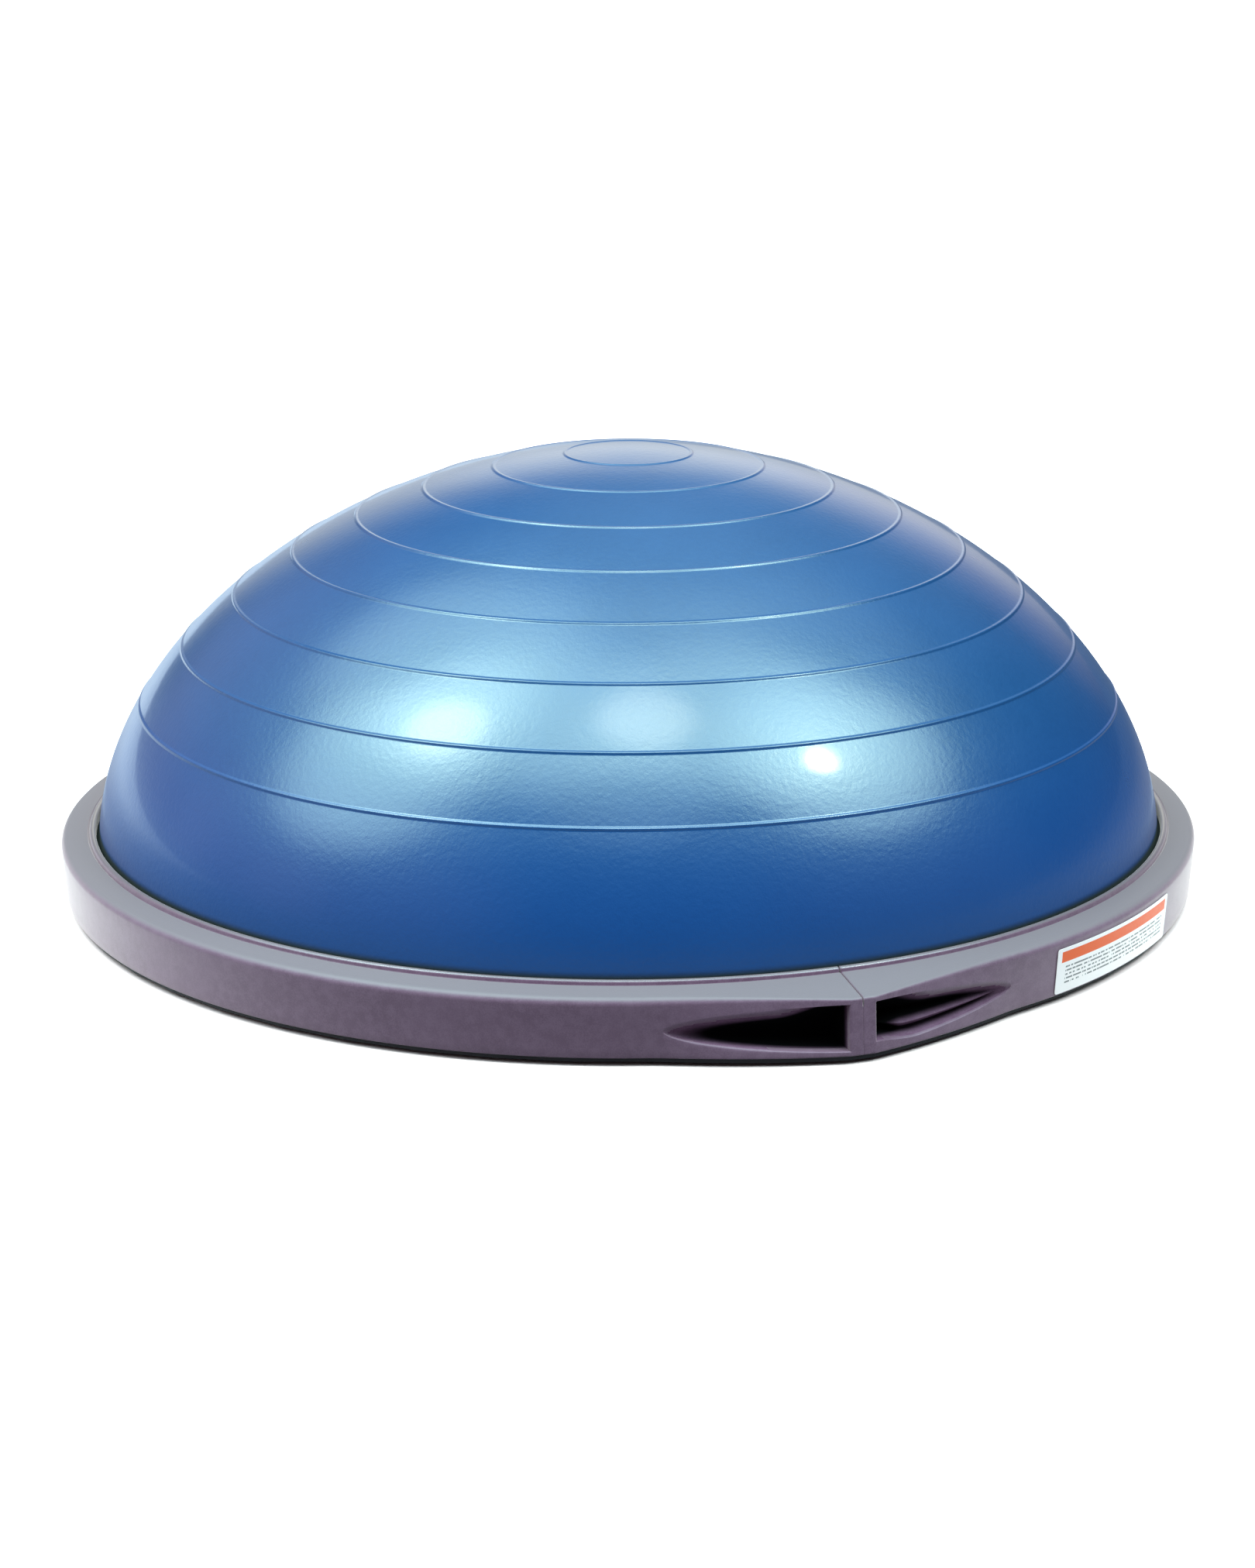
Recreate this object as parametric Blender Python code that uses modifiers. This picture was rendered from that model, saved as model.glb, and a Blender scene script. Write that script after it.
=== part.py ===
"""Balance dome trainer: an inflated half dome clamped on a stiff round platform.

Metres, +Z up. The origin is on the floor under the middle of the dome. The two hand-grips are on -Y (front)
and +Y (back), and the seam between the two rim halves runs through both.
"""

import math

import bmesh
import bpy
from mathutils import Matrix, Vector

MM = 0.001

# Dome skin: a superellipse turned about Z, with raised rings at even steps along its surface.
DOME_RADIUS = 299 * MM
DOME_FOOT_Z = 31 * MM
DOME_TOP_Z = 245.3 * MM
DOME_EXPONENT = 1.86
DOME_WALL = 3.5 * MM
RING_COUNT = 8
RING_FIRST = 35.2 * MM
RING_SPACING = 40.4 * MM
RING_HEIGHT = 1.2 * MM
RING_WIDTH = 4.5 * MM
BEAD_OUTER_RADIUS = 304.4 * MM
BEAD_INNER_RADIUS = 292 * MM
BEAD_BOTTOM_Z = 27.8 * MM
BEAD_TOP_Z = 33.6 * MM

# Rim: its wall is round and leans out a little, and it bulges to a blunt corner at each hand-grip.
RIM_RADIUS = 317.5 * MM
WALL_LEAN = 2 * MM
# The flange slopes down outwards, so its edge is higher where the wall isn't pushed out by a hand-grip
FLANGE_RISE = 1.7 * MM
RIM_BOTTOM_Z = 4.5 * MM
RIM_WALL = 3 * MM
LIP_INNER_RADIUS = 300.6 * MM
LIP_UNDERSIDE_Z = 33.9 * MM
RIM_CORE_RADIUS = 305.6 * MM
RIM_CORE_BOTTOM_Z = 6.5 * MM
CORNER_FOOT_REACH = 17.5 * MM
CORNER_FOOT_SHARPNESS = 1.15
CORNER_TOP_REACH = 14 * MM
CORNER_TOP_SHARPNESS = 1.8
CORNER_HALF_ANGLE = math.radians(18)
CORNER_FLAT_ANGLE = math.radians(1.15)
SEAM_HALF_ANGLE = math.radians(0.03)

# Finger pockets: a pointed scoop on each side of the hand-grip's rib.
POCKET_LENGTH = 87 * MM
POCKET_DEPTH = 17 * MM
POCKET_HALF_HEIGHT = 11.9 * MM
POCKET_MIDDLE_Z = 19.1 * MM
POCKET_WALL = 2.2 * MM
POCKET_POINT = 1.5
GRIP_RIB_HALF_WIDTH = 7.1 * MM
POCKET_STEPS = (0, 0.25, 0.5, 0.7, 0.85, 0.95, 1)

# Platform
PAN_BOTTOM_Z = 2 * MM
PAN_EDGE_TOP_Z = 4.2 * MM
PAN_EDGE_INSET = 2 * MM
DECK_TOP_Z = 6.2 * MM
DECK_RADIUS = 313.2 * MM
STEP_INNER_RADIUS = 286 * MM
STEP_OUTER_RADIUS = 289 * MM
SEAT_RADIUS = 304.6 * MM
SEAT_TOP_Z = 25.5 * MM
SEAT_THICKNESS = 3 * MM
DECK_RIB_COUNT = 8
DECK_RIB_TOP_Z = 22 * MM
DECK_RIB_THICKNESS = 3 * MM
HUB_RADIUS = 46 * MM

# Gasket, screws, feet and valve
GAP = 0.3 * MM
SEAL_INNER_RADIUS = 291 * MM
SEAL_OUTER_RADIUS = 303.6 * MM
SCREW_COUNT = 12
SCREW_FIRST_ANGLE = math.radians(31.5)
SCREW_PITCH_ANGLE = math.radians(23.4)
SCREW_CIRCLE_RADIUS = 310.2 * MM
SCREW_HEAD_RADIUS = 3.2 * MM
SCREW_SHANK_RADIUS = 1.5 * MM
SCREW_HEAD_BOTTOM_Z = 2.3 * MM
SCREW_HEAD_TOP_Z = 3.6 * MM
SCREW_TIP_Z = 22 * MM
SCREW_BOSS_RADIUS = 5 * MM
FOOT_COUNT = 8
FOOT_RADIUS = 13 * MM
FOOT_CIRCLE_RADIUS = 270 * MM
FOOT_TOP_Z = 2.9 * MM
VALVE_CIRCLE_RADIUS = 190 * MM
VALVE_ANGLE = math.radians(22.5)
VALVE_BOSS_RADIUS = 20 * MM
VALVE_BOSS_TOP_Z = 18 * MM
VALVE_RECESS_RADIUS = 17 * MM
VALVE_RECESS_TOP_Z = 7 * MM
VALVE_HOLE_RADIUS = 9.5 * MM
VALVE_BORE_RADIUS = 4.7 * MM
PLUG_HEAD_RADIUS = 11 * MM

# Label on the rim wall, right of the front hand-grip
LABEL_START_ANGLE = math.radians(23.1)
LABEL_END_ANGLE = math.radians(44.1)
LABEL_BOTTOM_Z = 5.6 * MM
LABEL_TOP_Z = 30.4 * MM
LABEL_THICKNESS = 0.3 * MM
LABEL_STANDOFF = 0.35 * MM

OBJECT_NAME = "balance_dome_trainer"


def clear_scene():
    for old in list(bpy.data.objects):
        bpy.data.objects.remove(old, do_unlink=True)


def new_collection(name):
    collection = bpy.data.collections.new(name)
    bpy.context.scene.collection.children.link(collection)
    return collection


def plastic(name, colour, roughness, metallic=0.0):
    material = bpy.data.materials.new(name)
    material.use_nodes = True
    shader = material.node_tree.nodes["Principled BSDF"]
    shader.inputs["Base Color"].default_value = (*colour, 1)
    shader.inputs["Roughness"].default_value = roughness
    shader.inputs["Metallic"].default_value = metallic
    material.diffuse_color = (*colour, 1)
    return material


def add_object(name, mesh, collection):
    made = bpy.data.objects.new(name, mesh)
    collection.objects.link(made)
    return made


def finish_part(part, material, smooth_angle=math.radians(35)):
    part.data.materials.append(material)
    part.data.shade_smooth()
    part.data.set_sharp_from_angle(angle=smooth_angle)
    return part


def as_cutter(cutter):
    cutter.hide_render = True
    cutter.display_type = "WIRE"
    return cutter


def turned(name, profile, steps, collection):
    """Turns a closed profile of (radius, z) points, listed top to bottom on the outer side, about Z."""
    mesh = bpy.data.meshes.new(name)
    ends = [(i, (i + 1) % len(profile)) for i in range(len(profile))]
    on_axis = [radius < 1e-9 for radius, _ in profile]
    ends = [(a, b) for a, b in ends if not (on_axis[a] and on_axis[b])]
    mesh.from_pydata([(radius, 0, z) for radius, z in profile], ends, [])
    made = add_object(name, mesh, collection)
    screw = made.modifiers.new("Turn", "SCREW")
    screw.steps = screw.render_steps = steps
    screw.use_merge_vertices = True
    screw.merge_threshold = 1e-6
    return made


def baked(source, collection):
    """A plain mesh object with the source's modifiers applied; the source goes away."""
    graph = bpy.context.evaluated_depsgraph_get()
    mesh = bpy.data.meshes.new_from_object(source.evaluated_get(graph))
    name = source.name
    bpy.data.objects.remove(source, do_unlink=True)
    mesh.name = name
    return add_object(name, mesh, collection)


def cylinder(name, radius, bottom_z, top_z, steps, collection, place=(0, 0)):
    mesh = bpy.data.meshes.new(name)
    shape = bmesh.new()
    bmesh.ops.create_cone(
        shape, cap_ends=True, segments=steps, radius1=radius, radius2=radius, depth=top_z - bottom_z
    )
    shape.to_mesh(mesh)
    shape.free()
    made = add_object(name, mesh, collection)
    made.location = (place[0], place[1], (bottom_z + top_z) / 2)
    return made


def boolean(target, other, operation):
    modifier = target.modifiers.new(f"{operation.title()} {other.name}", "BOOLEAN")
    modifier.operation = operation
    modifier.object = other


def polar(radius, angle):
    """A place at this angle round from -Y, turning towards +X."""
    return radius * math.sin(angle), -radius * math.cos(angle)


def corner_offsets(angle):
    """How far the foot and the top of the rim's wall stand out of the circle, at this angle from the grip's middle."""
    share = (abs(angle) - CORNER_FLAT_ANGLE) / (CORNER_HALF_ANGLE - CORNER_FLAT_ANGLE)
    left = 1 - min(max(share, 0), 1)
    return CORNER_FOOT_REACH * left**CORNER_FOOT_SHARPNESS, CORNER_TOP_REACH * left**CORNER_TOP_SHARPNESS


def from_grip(angle):
    """The angle from the nearer hand-grip, for an angle round from -Y."""
    turned_in = angle % math.pi
    return min(turned_in, math.pi - turned_in)


# ---------------------------------------------------------------- dome skin


def dome_curve(radius, height, samples=600):
    """Arc length, radius and height above the dome's foot along the superellipse, apex first."""
    curve = []
    length = 0.0
    for i in range(samples + 1):
        phi = math.pi / 2 * i / samples
        here = (
            radius * math.sin(phi) ** (2 / DOME_EXPONENT),
            height * max(math.cos(phi), 0.0) ** (2 / DOME_EXPONENT),
        )
        if curve:
            length += math.dist(here, curve[-1][1:])
        curve.append((length, *here))
    return curve


def point_along(curve, length):
    """The point at this arc length, and the outward normal there."""
    for before, after in zip(curve, curve[1:]):
        if after[0] >= length:
            share = (length - before[0]) / (after[0] - before[0])
            radius = before[1] + share * (after[1] - before[1])
            z = before[2] + share * (after[2] - before[2])
            along = Vector((after[1] - before[1], after[2] - before[2])).normalized()
            return Vector((radius, z)), Vector((-along.y, along.x))
    return Vector(curve[-1][1:]), Vector((1, 0))


def dome_outer_profile():
    curve = dome_curve(DOME_RADIUS, DOME_TOP_Z - DOME_FOOT_Z)
    points = [Vector((0, DOME_TOP_Z - DOME_FOOT_Z))]
    for ring in range(RING_COUNT):
        middle = RING_FIRST + ring * RING_SPACING
        for offset, raised in ((-RING_WIDTH / 2, 0), (0, RING_HEIGHT), (RING_WIDTH / 2, 0)):
            place, normal = point_along(curve, middle + offset)
            points.append(place + normal * raised)
    last_ring = RING_FIRST + (RING_COUNT - 1) * RING_SPACING
    plain = curve[-1][0] - last_ring
    for share in (0.25, 0.5, 0.72, 0.88):
        points.append(point_along(curve, last_ring + share * plain)[0])
    profile = [(point.x, point.y + DOME_FOOT_Z) for point in points]
    return [point for point in profile if point[1] > BEAD_TOP_Z] + [(DOME_RADIUS, BEAD_TOP_Z)]


def dome_inner_profile():
    curve = dome_curve(DOME_RADIUS - DOME_WALL, DOME_TOP_Z - DOME_FOOT_Z - DOME_WALL)
    shares = (0.96, 0.9, 0.82, 0.72, 0.6, 0.48, 0.36, 0.24, 0.12)
    points = [point_along(curve, share * curve[-1][0])[0] for share in shares]
    rising = [(point.x, point.y + DOME_FOOT_Z) for point in points]
    return rising + [(0, DOME_TOP_Z - DOME_WALL)]


def make_dome_skin(parts, material):
    bead = [
        (BEAD_OUTER_RADIUS, BEAD_TOP_Z),
        (BEAD_OUTER_RADIUS, BEAD_BOTTOM_Z),
        (BEAD_INNER_RADIUS, BEAD_BOTTOM_Z),
    ]
    profile = dome_outer_profile() + bead + dome_inner_profile()
    finish_part(turned("dome_skin", profile, 48, parts), material, math.radians(20))


# ---------------------------------------------------------------- rim


def rim_envelope_section(foot_offset, top_offset):
    """The rim's outer form as a closed (radius, z) section; the offsets move the wall out at a hand-grip."""
    foot = RIM_RADIUS + foot_offset
    wall = RIM_RADIUS + top_offset
    rise = FLANGE_RISE * (1 - top_offset / CORNER_TOP_REACH)
    outside = [(WALL_LEAN / MM, 29.5), (1.5, 32), (-0.2, 33.8), (-3.6, 34.8)]
    flange_and_bead = [
        (305.2, 38.1),
        (304.3, 37.4),
        (303.7, 39.0),
        (302.4, 40.1),
        (301.2, 39.7),
        (300.6, 38.2),
    ]
    section = [(foot, RIM_BOTTOM_Z)]
    section += [(wall + out * MM, z * MM + rise) for out, z in outside]
    section += [(radius * MM, z * MM) for radius, z in flange_and_bead]
    section += [
        (LIP_INNER_RADIUS, LIP_UNDERSIDE_Z),
        (RIM_CORE_RADIUS, LIP_UNDERSIDE_Z),
        (RIM_CORE_RADIUS, RIM_CORE_BOTTOM_Z),
        (foot - 4 * MM, RIM_CORE_BOTTOM_Z),
        (foot - 2.4 * MM, RIM_BOTTOM_Z),
    ]
    return section


def rim_channel_section(foot_offset, top_offset):
    """The hollow under the rim's flange, open below and on its inner side."""
    inner_foot = RIM_RADIUS + foot_offset - RIM_WALL
    inner_wall = RIM_RADIUS + top_offset - RIM_WALL
    return [
        (inner_foot, -5 * MM),
        (inner_foot, RIM_BOTTOM_Z),
        (inner_wall + WALL_LEAN, 29 * MM),
        (inner_wall - 1 * MM, 31.4 * MM),
        (307.5 * MM, 33.4 * MM),
        (303 * MM, 33.4 * MM),
        (303 * MM, -5 * MM),
    ]


def lofted(name, section_at, angles, collection):
    """Skins one section per angle round from -Y and closes both ends."""
    shape = bmesh.new()
    loops = []
    for angle in angles:
        section = section_at(*corner_offsets(from_grip(angle)))
        loops.append([shape.verts.new((*polar(radius, angle), z)) for radius, z in section])
    count = len(loops[0])
    for before, after in zip(loops, loops[1:]):
        for i in range(count):
            j = (i + 1) % count
            shape.faces.new((before[i], after[i], after[j], before[j]))
    shape.faces.new(loops[0])
    shape.faces.new(reversed(loops[-1]))
    bmesh.ops.recalc_face_normals(shape, faces=shape.faces)
    mesh = bpy.data.meshes.new(name)
    shape.to_mesh(mesh)
    shape.free()
    return add_object(name, mesh, collection)


def rim_angles(first_angle):
    """Angles from one seam to the other: close together at the hand-grips, even between them."""
    close = [math.radians(degrees) for degrees in (1.15, 3, 5, 7.5, 10.5, 14)]
    near_grip = [first_angle] + [angle for angle in close if angle > first_angle]
    spans = 20
    start = CORNER_HALF_ANGLE
    even = [start + (math.pi - 2 * start) * i / spans for i in range(spans + 1)]
    return near_grip + even + [math.pi - angle for angle in reversed(near_grip)]


def scoop(name, at_back, grow, cutters):
    """The pointed form of one finger pocket on the +X side: its flat end is on the hand-grip's rib."""
    profile = []
    for step in reversed(POCKET_STEPS):
        profile.append((math.sqrt(1 - step**POCKET_POINT), step))
    profile.append((0, 0))
    bullet = baked(turned(name, profile, 20, cutters), cutters)
    rib_face = GRIP_RIB_HALF_WIDTH - grow * 1.4
    corner = RIM_RADIUS + (CORNER_FOOT_REACH + CORNER_TOP_REACH) / 2
    end_angle = math.asin((GRIP_RIB_HALF_WIDTH + POCKET_LENGTH) / RIM_RADIUS)
    tip = Vector((*polar(RIM_RADIUS, end_angle), 0))
    root = Vector((rib_face, -corner, 0))
    lengthwise = (tip - root) * (1 + grow / POCKET_LENGTH)
    sign = -1 if at_back else 1
    columns = [
        Vector((0, sign * (POCKET_DEPTH + grow), 0)),
        Vector((0, 0, POCKET_HALF_HEIGHT + grow)),
        Vector((lengthwise.x, sign * lengthwise.y, 0)),
    ]
    frame = Matrix(columns).transposed().to_4x4()
    frame.translation = (root.x, sign * root.y, POCKET_MIDDLE_Z)
    bullet.data.transform(frame)
    if at_back:
        bullet.data.flip_normals()
    return as_cutter(bullet)


def screw_angles():
    """Six screws for the +X rim half, clear of the hand-grips; the -X half has the same, half a turn on."""
    return [SCREW_FIRST_ANGLE + i * SCREW_PITCH_ANGLE for i in range(SCREW_COUNT // 2)]


def make_rim_halves(parts, cutters, material):
    rim = lofted("rim_half_right", rim_envelope_section, rim_angles(SEAM_HALF_ANGLE), parts)
    block_angle = math.asin((GRIP_RIB_HALF_WIDTH + 1.5 * MM) / RIM_RADIUS)
    channel = as_cutter(lofted("rim_channel", rim_channel_section, rim_angles(block_angle), cutters))
    for at_back in (False, True):
        side = "back" if at_back else "front"
        boolean(channel, scoop(f"pocket_wall_{side}", at_back, POCKET_WALL, cutters), "DIFFERENCE")
    holes = []
    for i, angle in enumerate(screw_angles()):
        place = polar(SCREW_CIRCLE_RADIUS, angle)
        boss = cylinder(f"rim_boss_{i}", SCREW_BOSS_RADIUS, -8 * MM, 40 * MM, 12, cutters, place)
        boolean(channel, as_cutter(boss), "DIFFERENCE")
        top = SCREW_TIP_Z + 1 * MM
        hole = cylinder(f"rim_hole_{i}", SCREW_SHANK_RADIUS + GAP, 0, top, 8, cutters, place)
        holes.append(as_cutter(hole))
    boolean(rim, channel, "DIFFERENCE")
    for at_back in (False, True):
        side = "back" if at_back else "front"
        boolean(rim, scoop(f"pocket_{side}", at_back, 0, cutters), "DIFFERENCE")
    for hole in holes:
        boolean(rim, hole, "DIFFERENCE")
    rim = baked(rim, parts)
    rim.name = "rim_half_right"
    finish_part(rim, material)
    other = add_object("rim_half_left", rim.data, parts)
    other.rotation_euler.z = math.pi


# ---------------------------------------------------------------- platform


def pan_plate(parts):
    """The platform's bottom plate, whose edge follows the rim's outline just inside it."""
    shape = bmesh.new()
    loop = []
    for angle in rim_angles(0) + [math.pi + a for a in rim_angles(0)][1:-1]:
        radius = RIM_RADIUS + corner_offsets(from_grip(angle))[0] - PAN_EDGE_INSET
        loop.append(shape.verts.new((*polar(radius, angle), PAN_BOTTOM_Z)))
    bottom = shape.faces.new(loop)
    raised = bmesh.ops.extrude_face_region(shape, geom=[bottom])["geom"]
    lift = Vector((0, 0, PAN_EDGE_TOP_Z - PAN_BOTTOM_Z))
    bmesh.ops.translate(shape, vec=lift, verts=[v for v in raised if isinstance(v, bmesh.types.BMVert)])
    bmesh.ops.recalc_face_normals(shape, faces=shape.faces)
    mesh = bpy.data.meshes.new("base_pan")
    shape.to_mesh(mesh)
    shape.free()
    return add_object("base_pan", mesh, parts)


def deck_rib(index, cutters):
    mesh = bpy.data.meshes.new(f"deck_rib_{index}")
    shape = bmesh.new()
    bmesh.ops.create_cube(shape, size=1)
    length = STEP_OUTER_RADIUS - 1 * MM - HUB_RADIUS + 1 * MM
    height = DECK_RIB_TOP_Z - DECK_TOP_Z + 1 * MM
    bmesh.ops.scale(shape, vec=(length, DECK_RIB_THICKNESS, height), verts=shape.verts)
    middle = (HUB_RADIUS - 1 * MM + length / 2, 0, DECK_RIB_TOP_Z - height / 2)
    bmesh.ops.translate(shape, vec=middle, verts=shape.verts)
    shape.to_mesh(mesh)
    shape.free()
    made = add_object(f"deck_rib_{index}", mesh, cutters)
    made.rotation_euler.z = 2 * math.pi * index / DECK_RIB_COUNT
    return as_cutter(made)


def foot_places():
    step = 2 * math.pi / FOOT_COUNT
    return [polar(FOOT_CIRCLE_RADIUS, step * (i + 0.5)) for i in range(FOOT_COUNT)]


def screw_places():
    angles = screw_angles()
    return [polar(SCREW_CIRCLE_RADIUS, angle) for angle in angles + [a + math.pi for a in angles]]


def valve_place():
    return (VALVE_CIRCLE_RADIUS * math.cos(VALVE_ANGLE), VALVE_CIRCLE_RADIUS * math.sin(VALVE_ANGLE))


def make_base_pan(parts, cutters, material):
    pan = pan_plate(parts)
    tray_profile = [
        (HUB_RADIUS - 3 * MM, DECK_RIB_TOP_Z),
        (HUB_RADIUS, DECK_RIB_TOP_Z),
        (HUB_RADIUS, DECK_TOP_Z),
        (STEP_INNER_RADIUS, DECK_TOP_Z),
        (STEP_INNER_RADIUS, SEAT_TOP_Z),
        (SEAT_RADIUS, SEAT_TOP_Z),
        (SEAT_RADIUS, SEAT_TOP_Z - SEAT_THICKNESS),
        (STEP_OUTER_RADIUS, SEAT_TOP_Z - SEAT_THICKNESS),
        (STEP_OUTER_RADIUS, DECK_TOP_Z),
        (DECK_RADIUS, DECK_TOP_Z),
        (DECK_RADIUS, (PAN_BOTTOM_Z + PAN_EDGE_TOP_Z) / 2),
        (0, (PAN_BOTTOM_Z + PAN_EDGE_TOP_Z) / 2),
        (0, DECK_TOP_Z),
        (HUB_RADIUS - 3 * MM, DECK_TOP_Z),
    ]
    tray = as_cutter(turned("pan_tray", tray_profile, 56, cutters))
    boolean(pan, tray, "UNION")
    for index in range(DECK_RIB_COUNT):
        boolean(pan, deck_rib(index, cutters), "UNION")
    place = valve_place()
    below = -1 * MM
    boss = cylinder("valve_boss", VALVE_BOSS_RADIUS, 5 * MM, VALVE_BOSS_TOP_Z, 24, cutters, place)
    boolean(pan, as_cutter(boss), "UNION")
    recess = cylinder("valve_recess", VALVE_RECESS_RADIUS, below, VALVE_RECESS_TOP_Z, 24, cutters, place)
    boolean(pan, as_cutter(recess), "DIFFERENCE")
    hole = cylinder("valve_hole", VALVE_HOLE_RADIUS, below, VALVE_BOSS_TOP_Z + 1 * MM, 20, cutters, place)
    boolean(pan, as_cutter(hole), "DIFFERENCE")
    for i, place in enumerate(foot_places()):
        recess = cylinder(f"foot_recess_{i}", FOOT_RADIUS + GAP, below, FOOT_TOP_Z + GAP, 20, cutters, place)
        boolean(pan, as_cutter(recess), "DIFFERENCE")
    for i, place in enumerate(screw_places()):
        head_top = SCREW_HEAD_TOP_Z + GAP
        seat = cylinder(f"screw_seat_{i}", SCREW_HEAD_RADIUS + GAP, below, head_top, 10, cutters, place)
        boolean(pan, as_cutter(seat), "DIFFERENCE")
        hole = cylinder(f"pan_hole_{i}", SCREW_SHANK_RADIUS + GAP, below, 10 * MM, 8, cutters, place)
        boolean(pan, as_cutter(hole), "DIFFERENCE")
    pan = baked(pan, parts)
    pan.name = "base_pan"
    finish_part(pan, material)


# ---------------------------------------------------------------- small parts


def make_seal_ring(parts, material):
    top = BEAD_BOTTOM_Z - GAP
    bottom = SEAT_TOP_Z + GAP
    profile = [
        (SEAL_OUTER_RADIUS, top),
        (SEAL_OUTER_RADIUS, bottom),
        (SEAL_INNER_RADIUS, bottom),
        (SEAL_INNER_RADIUS, top),
    ]
    finish_part(turned("seal_ring", profile, 48, parts), material)


def make_screws(parts, material):
    profile = [
        (0, SCREW_TIP_Z),
        (SCREW_SHANK_RADIUS, SCREW_TIP_Z - 2 * MM),
        (SCREW_SHANK_RADIUS, SCREW_HEAD_TOP_Z),
        (SCREW_HEAD_RADIUS, SCREW_HEAD_TOP_Z),
        (SCREW_HEAD_RADIUS, SCREW_HEAD_BOTTOM_Z),
        (0, SCREW_HEAD_BOTTOM_Z),
    ]
    first = finish_part(baked(turned("rim_screw", profile, 10, parts), parts), material)
    for i, (x, y) in enumerate(screw_places()):
        screw = add_object(f"rim_screw_{i + 1:02d}", first.data, parts)
        screw.location = (x, y, 0)
    bpy.data.objects.remove(first, do_unlink=True)


def make_feet(parts, material):
    first = None
    for i, place in enumerate(foot_places()):
        foot = cylinder(f"foot_{i + 1}", FOOT_RADIUS, 0, FOOT_TOP_Z, 20, parts, place)
        if first is None:
            first = finish_part(foot, material)
        else:
            foot.data = first.data


def make_valve(parts, rubber, plug_material):
    x, y = valve_place()
    flange_top = VALVE_RECESS_TOP_Z - GAP
    flange_bottom = flange_top - 1.8 * MM
    neck = VALVE_HOLE_RADIUS - GAP
    barb_bottom = VALVE_BOSS_TOP_Z + GAP
    body_profile = [
        (neck, barb_bottom + 2 * MM),
        (neck + 2 * MM, barb_bottom),
        (neck, barb_bottom),
        (neck, flange_top),
        (VALVE_RECESS_RADIUS - 1.5 * MM, flange_top),
        (VALVE_RECESS_RADIUS - 1.5 * MM, flange_bottom),
        (VALVE_BORE_RADIUS, flange_bottom),
        (VALVE_BORE_RADIUS, barb_bottom + 2 * MM),
    ]
    body = finish_part(turned("valve_body", body_profile, 20, parts), rubber)
    body.location = (x, y, 0)
    head_top = flange_bottom - GAP
    stem = VALVE_BORE_RADIUS - GAP
    plug_profile = [
        (0, VALVE_BOSS_TOP_Z),
        (stem - 1 * MM, VALVE_BOSS_TOP_Z),
        (stem, VALVE_BOSS_TOP_Z - 2 * MM),
        (stem, head_top),
        (PLUG_HEAD_RADIUS, head_top),
        (PLUG_HEAD_RADIUS, head_top - 1.6 * MM),
        (0, head_top - 1.6 * MM),
    ]
    plug = finish_part(turned("valve_plug", plug_profile, 20, parts), plug_material)
    plug.location = (x, y, 0)


def make_label(parts, material):
    spans = 7
    inner = RIM_RADIUS + LABEL_STANDOFF
    outer = inner + LABEL_THICKNESS
    width = LABEL_END_ANGLE - LABEL_START_ANGLE
    section = [
        (outer + WALL_LEAN, LABEL_TOP_Z),
        (outer, LABEL_BOTTOM_Z),
        (inner, LABEL_BOTTOM_Z),
        (inner + WALL_LEAN, LABEL_TOP_Z),
    ]
    angles = [LABEL_START_ANGLE + width * i / spans for i in range(spans + 1)]
    finish_part(lofted("rim_label", lambda foot, top: section, angles, parts), material)


def main():
    clear_scene()
    parts = new_collection(OBJECT_NAME)
    cutters = new_collection("cutters")
    blue_vinyl = plastic("blue_vinyl", (0.03, 0.12, 0.36), 0.28)
    grey_plastic = plastic("grey_plastic", (0.16, 0.14, 0.16), 0.5)
    black_plastic = plastic("black_plastic", (0.02, 0.02, 0.022), 0.55)
    black_rubber = plastic("black_rubber", (0.015, 0.015, 0.015), 0.85)
    steel = plastic("zinc_steel", (0.62, 0.62, 0.6), 0.35, 1.0)
    plug_plastic = plastic("plug_plastic", (0.75, 0.75, 0.72), 0.45)
    printed_film = plastic("printed_film", (0.85, 0.85, 0.83), 0.4)
    make_dome_skin(parts, blue_vinyl)
    make_rim_halves(parts, cutters, grey_plastic)
    make_base_pan(parts, cutters, black_plastic)
    make_seal_ring(parts, black_rubber)
    make_screws(parts, steel)
    make_feet(parts, black_rubber)
    make_valve(parts, black_rubber, plug_plastic)
    make_label(parts, printed_film)


main()
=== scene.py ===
"""Looks of the balance dome trainer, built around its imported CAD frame.

Metres, +Z up, in the frame's own axes: the origin is on the floor under the middle of the dome, and the
two hand-grips are on -Y (front) and +Y (back).
"""

import math  # noqa: E402

import bmesh  # noqa: E402
import bpy  # noqa: E402
from mathutils import Matrix, Vector  # noqa: E402


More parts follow.
